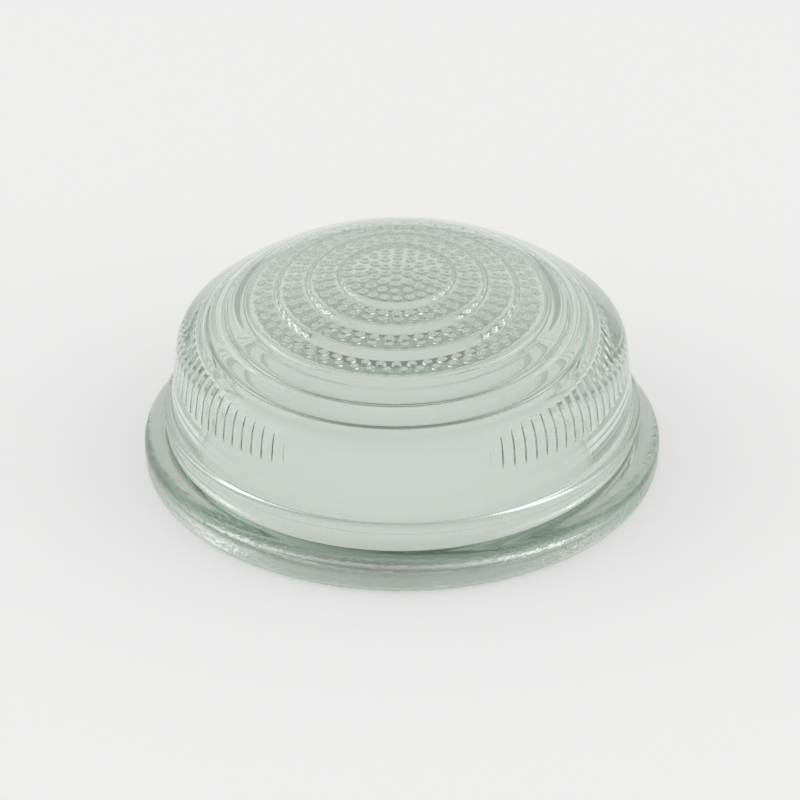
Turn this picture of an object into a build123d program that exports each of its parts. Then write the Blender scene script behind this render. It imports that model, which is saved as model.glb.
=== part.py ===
from math import atan2, cos, degrees, hypot, pi, radians, sin, sqrt, tan
import os

from build123d import *

# Pressed-glass lamp lens. Millimetres, +Z up, origin at the centre of the foot face, front towards -Y.

# crown, shoulder and skirt, outside
height = 36.2
dome_radius = 53.9
shoulder_radius = 4.9
shoulder_centre_r = 31.51
skirt_draft = radians(7.6)
skirt_foot_r = 37.6
skirt_foot_z = 10.75

# locating bead, cove and rolled flange, outside
bead_r = 38.75
bead_z = 9.2
neck_r = 38.1
neck_z = 7.8
cove_end_r = 40.2
cove_end_z = 5.75
flange_r = 42.1
flange_nose_z = 3.4
flange_low_z = 1.8
foot_r = 41.0

# cavity wall, parallel to the skirt, and the sloping ceiling band with its two fine grooves
wall_top_r = 29.9
wall_top_z = 18.7
mouth_lip = 0.9
band_low_r = 28.6
band_low_z = 20.1
groove_mid_r = 25.7
groove_depth = 0.5
groove_width = 1.1
band_crown = 0.15
ledge_r = 23.2
ledge_z = 23.6

# terraces under the crown, from the middle out: inner radius, outer radius and height of each tread
disc_r = 8.4
disc_z = 29.75
treads = [(8.75, 13.1, 28.5), (13.5, 17.75, 27.1), (18.15, 22.3, 25.4)]

# beads: number in a row and the radii of the two rows, for each tread; the outer tread's rows are staggered
beads_per_row = [32, 42, 52]
row_radii = [(10.1, 11.6), (14.8, 16.2), (19.2, 20.5)]
stagger = [0, 0, 0.5]
bead_radius = 0.88
bead_height = 0.35
dimple_radius = 0.7
dimple_height = 0.22
dimple_pitch = 1.9
dimple_rings = 4
stub = 0.4

# ribs inside the skirt: slim pointed flutes in two mirrored runs, with a plain window between them to the
# front and to the back
rib_pitch = 3.6
window_half = 27.0
rib_radius = 0.36
rib_top_z = 18.4
rib_low_z = 13.2
rib_widest = 0.6

# the dome arc and the shoulder arc share a tangent; the skirt line leaves the shoulder at the draft angle
dome_centre_z = height - dome_radius
shoulder_centre_z = dome_centre_z + sqrt((dome_radius - shoulder_radius) ** 2 - shoulder_centre_r**2)
turn = atan2(shoulder_centre_r, shoulder_centre_z - dome_centre_z)


def on_dome(angle):
    return (dome_radius * sin(angle), dome_centre_z + dome_radius * cos(angle))


def on_shoulder(angle):
    return (
        shoulder_centre_r + shoulder_radius * sin(angle),
        shoulder_centre_z + shoulder_radius * cos(angle),
    )


def wall_r(z):
    return wall_top_r + (wall_top_z - z) * tan(skirt_draft)


band_length = hypot(band_low_r - ledge_r, ledge_z - band_low_z)
band_r = (ledge_r - band_low_r) / band_length
band_z = (ledge_z - band_low_z) / band_length


def on_band(along, depth=0):
    """Point on the sloping ceiling band, counted from its low end; depth goes into the glass."""
    return (band_low_r + band_r * along + band_z * depth, band_low_z + band_z * along - band_r * depth)


skirt_angle = radians(90) - skirt_draft
groove_mid = (band_low_r - groove_mid_r) / -band_r
groove_half = groove_width / 2
rib_length = (rib_top_z - rib_low_z) / cos(skirt_draft)

with BuildPart() as cap:
    # one bead: a shallow glass cap on a short stub that roots it in the tread
    with BuildSketch(Plane.XZ):
        with BuildLine():
            sphere_radius = (bead_radius**2 + bead_height**2) / (2 * bead_height)
            Line((0, stub), (bead_radius, stub))
            Line((bead_radius, stub), (bead_radius, 0))
            RadiusArc((bead_radius, 0), (0, -bead_height), sphere_radius)
            Line((0, -bead_height), (0, stub))
        make_face()
    revolve(axis=Axis.Z)

with BuildPart() as dimple:
    with BuildSketch(Plane.XZ):
        with BuildLine():
            sphere_radius = (dimple_radius**2 + dimple_height**2) / (2 * dimple_height)
            Line((0, stub), (dimple_radius, stub))
            Line((dimple_radius, stub), (dimple_radius, 0))
            RadiusArc((dimple_radius, 0), (0, -dimple_height), sphere_radius)
            Line((0, -dimple_height), (0, stub))
        make_face()
    revolve(axis=Axis.Z)

with BuildPart() as rib:
    # a flute: widest near its top and drawn out to a point at the bottom
    widest = rib_length * rib_widest
    with BuildSketch(Plane.XZ):
        with BuildLine():
            Bezier((0, 0), (rib_radius * rib_widest, widest / 2), (rib_radius, widest))
            Bezier((rib_radius, widest), (rib_radius, rib_length), (0, rib_length))
            Line((0, rib_length), (0, 0))
        make_face()
    revolve(axis=Axis.Z)

with BuildPart() as lens:
    with BuildSketch(Plane.XZ):
        with BuildLine():
            # crown and shoulder
            ThreePointArc((0, height), on_dome(turn / 2), on_dome(turn))
            ThreePointArc(on_shoulder(turn), on_shoulder((turn + skirt_angle) / 2), on_shoulder(skirt_angle))
            # skirt down to the bead, the bead and the neck below it
            Line(on_shoulder(skirt_angle), (skirt_foot_r, skirt_foot_z))
            Bezier((skirt_foot_r, skirt_foot_z), (37.72, 10.0), (38.2, 9.98))
            Bezier((38.2, 9.98), (bead_r, 9.95), (bead_r, bead_z))
            Bezier((bead_r, bead_z), (bead_r, 8.55), (38.3, 8.45))
            Bezier((38.3, 8.45), (neck_r, 8.35), (neck_r, neck_z))
            # cove, rolled nose, rim and foot
            Bezier((neck_r, neck_z), (38.2, 6.3), (cove_end_r, cove_end_z))
            Bezier((cove_end_r, cove_end_z), (41.4, 5.3), (flange_r, 4.5), (flange_r, flange_nose_z))
            Line((flange_r, flange_nose_z), (flange_r, flange_low_z))
            Bezier((flange_r, flange_low_z), (flange_r, 0), (foot_r, 0))
            Line((foot_r, 0), (wall_r(0) + mouth_lip, 0))
            Bezier((wall_r(0) + mouth_lip, 0), (wall_r(0), 0), (wall_r(mouth_lip), mouth_lip))
            # cavity wall, rounded into the ceiling band
            Line((wall_r(mouth_lip), mouth_lip), (wall_top_r, wall_top_z))
            low_groove = on_band(0, groove_depth)
            Bezier((wall_top_r, wall_top_z), (29.6, 19.3), (low_groove[0], band_low_z - 0.15))
            # ceiling band: a groove at its low end and one half-way up, slightly crowned between them
            Line((low_groove[0], band_low_z - 0.15), low_groove)
            Bezier(low_groove, on_band(groove_half / 2), on_band(groove_half))
            low_end, high_end = groove_mid - groove_half, groove_mid + groove_half
            ThreePointArc(
                on_band(groove_half), on_band((groove_half + low_end) / 2, -band_crown), on_band(low_end)
            )
            ThreePointArc(on_band(low_end), on_band(groove_mid, groove_depth), on_band(high_end))
            ThreePointArc(
                on_band(high_end), on_band((high_end + band_length) / 2, -band_crown), (ledge_r, ledge_z)
            )
            # the outer riser starts flat and bends up to the first tread
            corner = treads[-1][1:]
            Bezier((ledge_r, ledge_z), (22.35, 23.7), corner)
            # terraces, each riser leaning a little
            for tread_in, tread_out, tread_z in reversed(treads):
                if tread_out < treads[-1][1]:
                    Line(corner, (tread_out, tread_z))
                Line((tread_out, tread_z), (tread_in, tread_z))
                corner = (tread_in, tread_z)
            Line(corner, (disc_r, disc_z))
            Line((disc_r, disc_z), (0, disc_z))
            Line((0, disc_z), (0, height))
        make_face()
    revolve(axis=Axis.Z)

    # double row of beads on every tread
    for count, radii, shift, tread in zip(beads_per_row, row_radii, stagger, treads):
        for row, row_r in enumerate(radii):
            with Locations((0, 0, tread[2])):
                with PolarLocations(row_r, count, start_angle=row * shift * 360 / count):
                    add(cap.part)

    # rings of small caps in the disc
    with Locations((0, 0, disc_z)):
        add(dimple.part)
        for ring in range(1, dimple_rings + 1):
            ring_r = ring * dimple_pitch
            ring_count = round(2 * pi * ring_r / dimple_pitch)
            with PolarLocations(ring_r, ring_count, start_angle=(ring % 2) * 180 / ring_count):
                add(dimple.part)

    # flutes along the inside of the skirt
    for side in (-90, 90):
        start = side + window_half
        span = 180 - 2 * window_half
        count = round(span / rib_pitch)
        with Locations((0, 0, rib_low_z)):
            with PolarLocations(
                wall_r(rib_low_z), count, start_angle=start + rib_pitch / 2, angular_range=count * rib_pitch
            ):
                with Locations(Location((0, 0, 0), (0, -degrees(skirt_draft), 0))):
                    add(rib.part, mode=Mode.SUBTRACT)

lens.part.label = "lens"
os.makedirs("parts", exist_ok=True)
export_step(lens.part, "parts/lens.step")
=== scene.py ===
import math

import bmesh
import bpy
import numpy as np
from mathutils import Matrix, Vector


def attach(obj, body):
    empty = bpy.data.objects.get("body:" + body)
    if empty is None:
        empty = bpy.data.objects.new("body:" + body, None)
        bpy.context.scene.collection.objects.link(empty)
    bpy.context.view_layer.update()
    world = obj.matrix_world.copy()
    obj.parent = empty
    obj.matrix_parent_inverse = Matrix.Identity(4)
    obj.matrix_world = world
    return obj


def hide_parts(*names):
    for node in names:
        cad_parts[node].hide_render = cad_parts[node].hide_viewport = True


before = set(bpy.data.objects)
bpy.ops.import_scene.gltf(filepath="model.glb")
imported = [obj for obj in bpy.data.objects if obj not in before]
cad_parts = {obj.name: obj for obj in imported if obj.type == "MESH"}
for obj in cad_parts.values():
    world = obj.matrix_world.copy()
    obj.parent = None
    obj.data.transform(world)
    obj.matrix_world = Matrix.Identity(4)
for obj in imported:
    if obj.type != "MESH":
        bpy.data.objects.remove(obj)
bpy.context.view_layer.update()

MM = 0.001
WHITE = (1, 1, 1, 1)

# ---------------------------------------------------------------- outside of the glass, in mm
HEIGHT = 36.2
DOME_RADIUS = 53.9
SHOULDER_RADIUS = 4.9
SHOULDER_R = 31.51
DRAFT = math.radians(7.6)
DOME_Z = HEIGHT - DOME_RADIUS
SHOULDER_Z = DOME_Z + math.sqrt((DOME_RADIUS - SHOULDER_RADIUS) ** 2 - SHOULDER_R**2)
TURN = math.atan2(SHOULDER_R, SHOULDER_Z - DOME_Z)
DOME_STEPS, SHOULDER_STEPS, SKIRT_STEPS = 30, 16, 8
SKIRT_FOOT = (37.6, 10.75)
# from the skirt's foot to the foot ring, as (r, z): steps along each curve and its control points
BEAD = [
    (5, [SKIRT_FOOT, (37.7, 10.3), (37.7, 10.2)]),
    (5, [(37.7, 10.2), (38.7, 10.2), (38.85, 9.5)]),
    (5, [(38.85, 9.5), (38.85, 8.6), (38.4, 8.5)]),
    (5, [(38.4, 8.5), (38.35, 8.47), (38.3, 8.45)]),
]
COVE = [
    (4, [(38.3, 8.45), (38.1, 8.35), (38.1, 7.8)]),
    (9, [(38.1, 7.8), (38.2, 6.3), (40.2, 5.75)]),
]
FLANGE = [
    (9, [(40.2, 5.75), (41.4, 5.3), (42.1, 4.5), (42.1, 3.4)]),
    (2, [(42.1, 3.4), (42.1, 1.8)]),
    (7, [(42.1, 1.8), (42.1, 0), (41.0, 0)]),
]
FOOT_RINGS = (40.0, 37.0, 35.0)

# ---------------------------------------------------------------- inside of the glass, in mm
CORE_SHIFT = (-0.81, 0.26)  # the pressing plunger sat a little off the mould's axis
WALL_TOP = (29.9, 18.7)
MOUTH_LIP = 0.9
MOUTH_EASE = 0.1
MOUTH_STEPS = 4
LOW_WALL = 2.0
LOW_WALL_STEPS = 8
RIB_CLEAR = 0.2

RIB_PITCH = math.radians(3.6)
RIB_WINDOW = math.radians(27.0)  # plain glass to each side of the front and of the back
RIB_TOP, RIB_LOW = 18.6, 13.2
RIB_TOP_EASE, RIB_LOW_EASE = 0.7, 2.0
RIB_DEPTH = 0.3
RIB_HALF = 0.22  # half a rib's width, as a share of the pitch
RIB_FADE = 3.0  # the ribs beside the window grow to full depth over this many
RIB_POINTS = 10  # points round the wall for each rib
RIB_LEVELS = 11

# the band from the wall up to the ledge bulges a little between two shallow grooves
BAND_EASE = (29.5, 19.15)
BAND_EASE_STEPS = 5
GROOVE_OUT = (28.35, 19.7)
GROOVE_IN = (25.7, 22.0)
GROOVE_DEPTH = 0.55
GROOVE_HALF = 0.55
GROOVE_REACH = 0.8  # finer rings this far to the sides of a groove's middle
BAND_CROWN = 0.15
BAND_LEVELS, OUT_LEVELS, IN_LEVELS = 26, 9, 15
LEDGE = (23.2, 23.6)
LEDGE_BEND = (22.35, 23.7)
LEDGE_STEPS = 8

# each terrace: inner radius, outer radius, height, beads in a row, the two rows' radii and phases
TERRACES = [
    (8.75, 13.1, 28.5, 32, (10.1, 11.6), (0.27, 0.37)),
    (13.5, 17.75, 27.1, 42, (14.8, 16.2), (0.35, 0.35)),
    (18.15, 22.3, 25.4, 52, (19.2, 20.5), (0.43, 0.83)),
]
EDGE_R, EDGE_Z = 0.08, 0.16  # the small bevel at a terrace's edges
BEAD_R = 0.8
BEAD_H = 0.25
BEAD_POINTS = 12  # points round the terrace for each bead
BEAD_CLEAR = 0.05
ROW_STEPS = 19
DISC_R, DISC_Z = 8.4, 29.75
DISC_MIDDLE = 0.25
DISC_LEVELS = 32
DIMPLE_R = 0.7
DIMPLE_H = 0.22
DIMPLE_PITCH = 1.9
DIMPLE_RINGS = 4
DIMPLE_SQUEEZE = 0.98  # the rings of dimples stand this share of the pitch apart

PLAIN = 240  # points in a plain ring
CROWN_POINTS = 96  # points in a ring near the crown's middle
CROWN_R = 6
DISC_POINTS = [(4, 256), (1.8, 128), (0, 64)]  # points in the disc's rings beyond each radius


def arc(cx, cz, radius, a0, a1, n):
    turns = [a0 + (a1 - a0) * i / n for i in range(n + 1)]
    return [(cx + radius * math.sin(a), cz + radius * math.cos(a)) for a in turns]


def curve(points, n):
    """Bezier curve through control points."""
    out = []
    for i in range(n + 1):
        t = i / n
        q = [np.array(p, float) for p in points]
        while len(q) > 1:
            q = [(1 - t) * a + t * b for a, b in zip(q, q[1:])]
        out.append((float(q[0][0]), float(q[0][1])))
    return out


def outside():
    """The outer profile, from beside the crown's middle to the foot."""
    p = arc(0, DOME_Z, DOME_RADIUS, 0, TURN, DOME_STEPS)[1:]
    p += arc(SHOULDER_R, SHOULDER_Z, SHOULDER_RADIUS, TURN, math.pi / 2 - DRAFT, SHOULDER_STEPS)[1:]
    top_r, top_z = p[-1]
    foot_r, foot_z = SKIRT_FOOT
    for i in range(1, SKIRT_STEPS + 1):
        p.append((top_r + (foot_r - top_r) * i / SKIRT_STEPS, top_z + (foot_z - top_z) * i / SKIRT_STEPS))
    for steps, points in BEAD + COVE + FLANGE:
        p += curve(points, steps)[1:]
    return p


def cap_height(distance, radius, height):
    """Height of a spherical cap at a distance from its middle, 0 outside it."""
    sphere = (radius * radius + height * height) / (2 * height)
    inside = np.sqrt(np.maximum(sphere * sphere - distance * distance, 0)) - (sphere - height)
    return np.where(distance < radius, inside, 0)


rings = []  # each ring: centre, angles, radii, heights


def ring(n, r, z, core=True):
    a = np.arange(n) * 2 * math.pi / n
    rr = np.full(n, float(r)) if np.isscalar(r) else r(a)
    zz = np.full(n, float(z)) if np.isscalar(z) else z(a)
    rings.append((CORE_SHIFT if core else (0.0, 0.0), a, rr, zz))


def wall_r(z):
    return WALL_TOP[0] + (WALL_TOP[1] - z) * math.tan(DRAFT)


def rib(a, z):
    """Depth of the ribs at these angles and this height."""
    turned = (a + math.pi / 2 + math.pi) % (2 * math.pi) - math.pi
    side = np.where(np.abs(turned) > math.pi / 2, math.pi - np.abs(turned), np.abs(turned))
    k = (side - RIB_WINDOW) / RIB_PITCH
    f = np.abs(k - np.floor(k) - 0.5)
    shape = np.clip(1 - f / RIB_HALF, 0, 1)
    shape = shape * shape * (3 - 2 * shape)
    ends = np.clip((z - RIB_LOW) / RIB_LOW_EASE, 0, 1) * np.clip((RIB_TOP - z) / RIB_TOP_EASE, 0, 1)
    grow = np.clip((np.floor(k) + 1.5) / RIB_FADE, 0, 1)
    return (k >= 0) * shape * RIB_DEPTH * ends * grow


def outer_rings():
    for r, z in outside():
        ring(CROWN_POINTS if r < CROWN_R else PLAIN, r, z, core=False)
    for r in FOOT_RINGS:
        ring(PLAIN, r, 0.0, core=False)


def wall_rings():
    mouth = wall_r(0)
    for r, z in curve([(mouth + MOUTH_LIP, 0.0), (mouth, 0.0), (mouth - MOUTH_EASE, MOUTH_LIP)], MOUTH_STEPS):
        ring(PLAIN, r, z)
    for z in np.linspace(LOW_WALL, RIB_LOW - RIB_CLEAR, LOW_WALL_STEPS):
        ring(PLAIN, wall_r(z), z)
    ribbed = int(round(2 * math.pi / RIB_PITCH)) * RIB_POINTS
    for z in np.linspace(RIB_LOW, RIB_TOP, RIB_LEVELS):
        ring(ribbed, lambda a, z=z: wall_r(z) + rib(a, z), z)


def band_rings():
    for r, z in curve([WALL_TOP, BAND_EASE, GROOVE_OUT], BAND_EASE_STEPS)[1:-1]:
        ring(PLAIN, r, z)
    along_r, along_z = LEDGE[0] - GROOVE_OUT[0], LEDGE[1] - GROOVE_OUT[1]
    length = math.hypot(along_r, along_z)
    slope = math.atan2(-along_z, -along_r)
    nx, nz = -math.sin(slope), math.cos(slope)
    inner_at = math.hypot(GROOVE_OUT[0] - GROOVE_IN[0], GROOVE_OUT[1] - GROOVE_IN[1])
    levels = np.r_[
        np.linspace(0, length, BAND_LEVELS),
        np.linspace(0, GROOVE_REACH, OUT_LEVELS),
        inner_at + np.linspace(-GROOVE_REACH, GROOVE_REACH, IN_LEVELS),
    ]
    for s in np.unique(levels):
        r = GROOVE_OUT[0] + along_r * s / length
        z = GROOVE_OUT[1] + along_z * s / length
        span = s / inner_at if s < inner_at else (s - inner_at) / (length - inner_at)
        h = BAND_CROWN * math.sin(math.pi * span)
        for middle in (0, inner_at):
            h -= GROOVE_DEPTH * math.exp(-(((s - middle) / GROOVE_HALF) ** 2))
        ring(PLAIN, r - nx * h, z - nz * h)
    outer_terrace = TERRACES[-1]
    riser = [LEDGE, LEDGE_BEND, (outer_terrace[1] + EDGE_R, outer_terrace[2] - EDGE_Z)]
    for r, z in curve(riser, LEDGE_STEPS)[1:-1]:
        ring(PLAIN, r, z)


def beaded(a, r, z, count, rows, phases):
    """Height of a terrace at these angles and this radius: its tread, less the beads that hang from it."""
    out = np.full_like(a, z)
    step = 2 * math.pi / count
    for row, phase in zip(rows, phases):
        j = np.round(a / step - phase) + phase
        d = np.sqrt((r - row) ** 2 + (row * (a - j * step)) ** 2)
        out = np.minimum(out, z - cap_height(d, BEAD_R, BEAD_H))
    return out


def terrace_rings(r_in, r_out, z, count, rows, phases):
    n = count * BEAD_POINTS
    ring(n, r_out + EDGE_R, z - EDGE_Z)
    inner, outer = rows[0] - BEAD_R - BEAD_CLEAR, rows[1] + BEAD_R + BEAD_CLEAR
    radii = [outer + (inner - outer) * i / ROW_STEPS for i in range(ROW_STEPS + 1)]
    for r in [r_out, *radii, r_in]:
        ring(n, r, lambda a, r=r: beaded(a, r, z, count, rows, phases))
    ring(n, r_in - EDGE_R, z + EDGE_Z)


def dimple_places():
    places = [(0.0, 0.0)]
    for k in range(1, DIMPLE_RINGS + 1):
        r = k * DIMPLE_PITCH * DIMPLE_SQUEEZE
        count = int(round(2 * math.pi * r / DIMPLE_PITCH))
        stagger = 0.5 * (k % 2)
        turns = [2 * math.pi * (j + stagger) / count for j in range(count)]
        places += [(r * math.cos(a), r * math.sin(a)) for a in turns]
    return np.array(places)


def disc_rings():
    dots = dimple_places()

    def dimpled(a, r):
        x, y = r * np.cos(a), r * np.sin(a)
        d = np.sqrt((x[:, None] - dots[:, 0]) ** 2 + (y[:, None] - dots[:, 1]) ** 2).min(1)
        return DISC_Z - cap_height(d, DIMPLE_R, DIMPLE_H)

    ring(DISC_POINTS[0][1], DISC_R + EDGE_R, DISC_Z - EDGE_Z)
    for r in np.linspace(DISC_R, DISC_MIDDLE, DISC_LEVELS):
        n = next(points for beyond, points in DISC_POINTS if r > beyond)
        ring(n, r, lambda a, r=r: dimpled(a, r))


def stitch(first_z, last_z):
    """Vertices and faces of one closed skin through all the rings, with a point at each end."""
    verts = [(0.0, 0.0, first_z)]
    faces = []
    starts = []
    for (cx, cy), a, r, z in rings:
        starts.append(len(verts))
        verts += [tuple(p) for p in np.c_[cx + r * np.cos(a), cy + r * np.sin(a), z]]
    n = len(rings[0][1])
    faces += [(0, starts[0] + i, starts[0] + (i + 1) % n) for i in range(n)]
    for k in range(len(rings) - 1):
        s0, s1 = starts[k], starts[k + 1]
        n0, n1 = len(rings[k][1]), len(rings[k + 1][1])
        if n0 == n1:
            faces += [(s0 + i, s1 + i, s1 + (i + 1) % n0, s0 + (i + 1) % n0) for i in range(n0)]
            continue
        i = j = 0
        while i < n0 or j < n1:
            if j >= n1 or (i < n0 and (i + 1) / n0 <= (j + 1) / n1):
                faces.append((s0 + i % n0, s1 + j % n1, s0 + (i + 1) % n0))
                i += 1
            else:
                faces.append((s0 + i % n0, s1 + j % n1, s1 + (j + 1) % n1))
                j += 1
    centre = len(verts)
    verts.append((CORE_SHIFT[0], CORE_SHIFT[1], last_z))
    s, n = starts[-1], len(rings[-1][1])
    faces += [(s + i, centre, s + (i + 1) % n) for i in range(n)]
    return verts, faces


outer_rings()
wall_rings()
band_rings()
for terrace in reversed(TERRACES):
    terrace_rings(*terrace)
disc_rings()
verts, faces = stitch(HEIGHT, DISC_Z - DIMPLE_H)
mesh = bpy.data.meshes.new("lens_glass")
mesh.from_pydata([Vector(v) * MM for v in verts], [], faces)
mesh.validate()
bm = bmesh.new()
bm.from_mesh(mesh)
bmesh.ops.recalc_face_normals(bm, faces=bm.faces[:])
bm.to_mesh(mesh)
bm.free()
mesh.polygons.foreach_set("use_smooth", [True] * len(mesh.polygons))
lens = bpy.data.objects.new("lens_glass", mesh)
bpy.context.scene.collection.objects.link(lens)

# ---------------------------------------------------------------- glass
GLASS_IOR = 1.51
TINT = (0.80, 0.85, 0.815)
TINT_DENSITY = 34.0
SKIN_TINT = (0.905, 0.935, 0.903)
# the grainy skin, in mm: from the foot up to the flange's top, and outside a radius
GRAIN_LOW, GRAIN_FULL = 0.1, 0.6
GRAIN_TOP, GRAIN_TOP_HALF = 5.3, 0.4
GRAIN_IN, GRAIN_IN_HALF = 34.0, 0.1
GRAIN_ROUGH = 0.02
GRAIN_SCALE = 1500.0
GRAIN_DETAIL = 2.0
GRAIN_DEPTH = 0.12


def maths(tree, operation, a, b):
    """A Math node's output; a and b are sockets or numbers."""
    node = tree.nodes.new("ShaderNodeMath")
    node.operation = operation
    for socket, value in zip(node.inputs, (a, b)):
        if isinstance(value, float):
            socket.default_value = value
        else:
            tree.links.new(value, socket)
    return node.outputs[0]


def rise(tree, value, start, end):
    """0 at start, 1 at end, for a socket's value."""
    node = tree.nodes.new("ShaderNodeMapRange")
    node.inputs["From Min"].default_value = start
    node.inputs["From Max"].default_value = end
    tree.links.new(value, node.inputs["Value"])
    return node.outputs[0]


glass = bpy.data.materials.new("glass")
glass.use_nodes = True
tree = glass.node_tree
nodes, links = tree.nodes, tree.links
shader = nodes["Principled BSDF"]
shader.inputs["Base Color"].default_value = (*SKIN_TINT, 1)
shader.inputs["Roughness"].default_value = 0.0
shader.inputs["IOR"].default_value = GLASS_IOR
shader.inputs["Transmission Weight"].default_value = 1.0
volume = nodes.new("ShaderNodeVolumeAbsorption")
volume.inputs["Color"].default_value = (*TINT, 1)
volume.inputs["Density"].default_value = TINT_DENSITY
links.new(volume.outputs[0], nodes["Material Output"].inputs["Volume"])

# the flange's nose keeps the mould's grainy skin; the rest of the glass is fire-polished
place = nodes.new("ShaderNodeTexCoord").outputs["Object"]
axes = nodes.new("ShaderNodeSeparateXYZ")
links.new(place, axes.inputs[0])
flat = nodes.new("ShaderNodeVectorMath")
flat.operation = "MULTIPLY"
flat.inputs[1].default_value = (1, 1, 0)
links.new(place, flat.inputs[0])
radius = nodes.new("ShaderNodeVectorMath")
radius.operation = "LENGTH"
links.new(flat.outputs[0], radius.inputs[0])
height = axes.outputs["Z"]
below = rise(tree, height, (GRAIN_TOP + GRAIN_TOP_HALF) * MM, (GRAIN_TOP - GRAIN_TOP_HALF) * MM)
above = rise(tree, height, GRAIN_LOW * MM, GRAIN_FULL * MM)
far = rise(tree, radius.outputs["Value"], (GRAIN_IN - GRAIN_IN_HALF) * MM, (GRAIN_IN + GRAIN_IN_HALF) * MM)
grainy = maths(tree, "MULTIPLY", maths(tree, "MULTIPLY", below, above), far)
links.new(maths(tree, "MULTIPLY", grainy, GRAIN_ROUGH), shader.inputs["Roughness"])
speck = nodes.new("ShaderNodeTexNoise")
speck.inputs["Scale"].default_value = GRAIN_SCALE
speck.inputs["Detail"].default_value = GRAIN_DETAIL
links.new(place, speck.inputs["Vector"])
bump = nodes.new("ShaderNodeBump")
bump.inputs["Strength"].default_value = 1.0
bump.inputs["Distance"].default_value = GRAIN_DEPTH * MM
links.new(maths(tree, "MULTIPLY", speck.outputs["Fac"], grainy), bump.inputs["Height"])
links.new(bump.outputs[0], shader.inputs["Normal"])
mesh.materials.append(glass)

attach(lens, "root")
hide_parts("lens")

# ---------------------------------------------------------------- stage, in m
FLOOR = (0.86, 0.86, 0.85)
FLOOR_SIZE = 4
FLOOR_DROP = 0.0003
FLOOR_ROUGH = 0.9
FLOOR_GLOW = 0.37
# the studio's soft surround: height above the horizon in degrees, its plain brightness, and how much
# brighter it gets towards the two sides
SKY = [(3, 0.5, 0.3), (30, 0.5, 0.5), (46, 0.45, 0.2), (63, 0.2, 0.1), (85, 0.26, 0.0)]
SKY_COLUMNS = 12
SKY_STRENGTH = 1.05
LIGHTS = [("light_left", (-0.6, -0.14, 0.16)), ("light_right", (0.6, -0.14, 0.16))]
LIGHT_SIZE = (0.5, 0.3)
LIGHT_POWER = 0.3
LIGHT_AIM = Vector((0, 0, 0.02))

bpy.ops.mesh.primitive_plane_add(size=FLOOR_SIZE, location=(0, 0, -FLOOR_DROP))
floor = bpy.context.object
floor.name = "floor"
paper = bpy.data.materials.new("paper")
paper.use_nodes = True
paper_shader = paper.node_tree.nodes["Principled BSDF"]
paper_shader.inputs["Base Color"].default_value = (*FLOOR, 1)
paper_shader.inputs["Roughness"].default_value = FLOOR_ROUGH
paper_shader.inputs["Emission Color"].default_value = WHITE
paper_shader.inputs["Emission Strength"].default_value = FLOOR_GLOW
floor.data.materials.append(paper)

world = bpy.data.worlds.new("studio")
bpy.context.scene.world = world
world.use_nodes = True
sky = world.node_tree
split = sky.nodes.new("ShaderNodeSeparateXYZ")
sky.links.new(sky.nodes.new("ShaderNodeTexCoord").outputs["Generated"], split.inputs[0])
to_left = maths(sky, "MULTIPLY", split.outputs["X"], -1.0)
to_front = maths(sky, "MULTIPLY", split.outputs["Y"], -1.0)
turn = rise(sky, maths(sky, "ARCTAN2", to_left, to_front), -math.pi, math.pi)


def surround(plain, sides):
    """Brightness round the lens at one height, starting behind it."""
    ramp = sky.nodes.new("ShaderNodeValToRGB")
    elements = ramp.color_ramp.elements
    while len(elements) < SKY_COLUMNS + 1:
        elements.new(0.5)
    for i, element in enumerate(elements):
        element.position = i / SKY_COLUMNS
        level = plain + sides * math.sin(2 * math.pi * element.position) ** 2
        element.color = (level, level, level, 1)
    sky.links.new(turn, ramp.inputs["Fac"])
    return ramp.outputs["Color"]


shade = surround(*SKY[0][1:])
for (lower, *_), (upper, plain, sides) in zip(SKY, SKY[1:]):
    blend = sky.nodes.new("ShaderNodeMixRGB")
    step = rise(sky, split.outputs["Z"], math.sin(math.radians(lower)), math.sin(math.radians(upper)))
    sky.links.new(step, blend.inputs["Fac"])
    sky.links.new(shade, blend.inputs["Color1"])
    sky.links.new(surround(plain, sides), blend.inputs["Color2"])
    shade = blend.outputs["Color"]
backdrop = sky.nodes["Background"]
sky.links.new(shade, backdrop.inputs["Color"])
backdrop.inputs["Strength"].default_value = SKY_STRENGTH

for name, spot in LIGHTS:
    lamp = bpy.data.lights.new(name, "AREA")
    lamp.shape = "RECTANGLE"
    lamp.size, lamp.size_y = LIGHT_SIZE
    lamp.energy = LIGHT_POWER
    holder = bpy.data.objects.new(name, lamp)
    holder.location = spot
    holder.rotation_euler = (LIGHT_AIM - Vector(spot)).to_track_quat("-Z", "Y").to_euler()
    bpy.context.scene.collection.objects.link(holder)

# ---------------------------------------------------------------- camera, in m
TARGET = Vector((-0.000326, 0, 0.00944))
AROUND = math.radians(3.0)  # the camera stands a little to the right of the lens's front
ELEVATION = math.radians(31.0)
DISTANCE = 0.5433
FOCAL_MM, SENSOR_MM = 150, 36
NEAREST = 0.01

camera = bpy.data.cameras.new("camera")
camera.lens = FOCAL_MM
camera.sensor_width = SENSOR_MM
camera.clip_start = NEAREST
eye = bpy.data.objects.new("camera", camera)
eye.location = TARGET + DISTANCE * Vector(
    (math.cos(ELEVATION) * math.sin(AROUND), -math.cos(ELEVATION) * math.cos(AROUND), math.sin(ELEVATION))
)
eye.rotation_euler = (TARGET - eye.location).to_track_quat("-Z", "Y").to_euler()
bpy.context.scene.collection.objects.link(eye)
bpy.context.scene.camera = eye

# light has to pass many glass surfaces on its way through the lens
GLASS_BOUNCES, DIFFUSE_BOUNCES = 32, 6
bpy.context.scene.view_settings.view_transform = "Standard"
cycles = bpy.context.scene.cycles
cycles.max_bounces = GLASS_BOUNCES
cycles.glossy_bounces = GLASS_BOUNCES
cycles.transmission_bounces = GLASS_BOUNCES
cycles.diffuse_bounces = DIFFUSE_BOUNCES
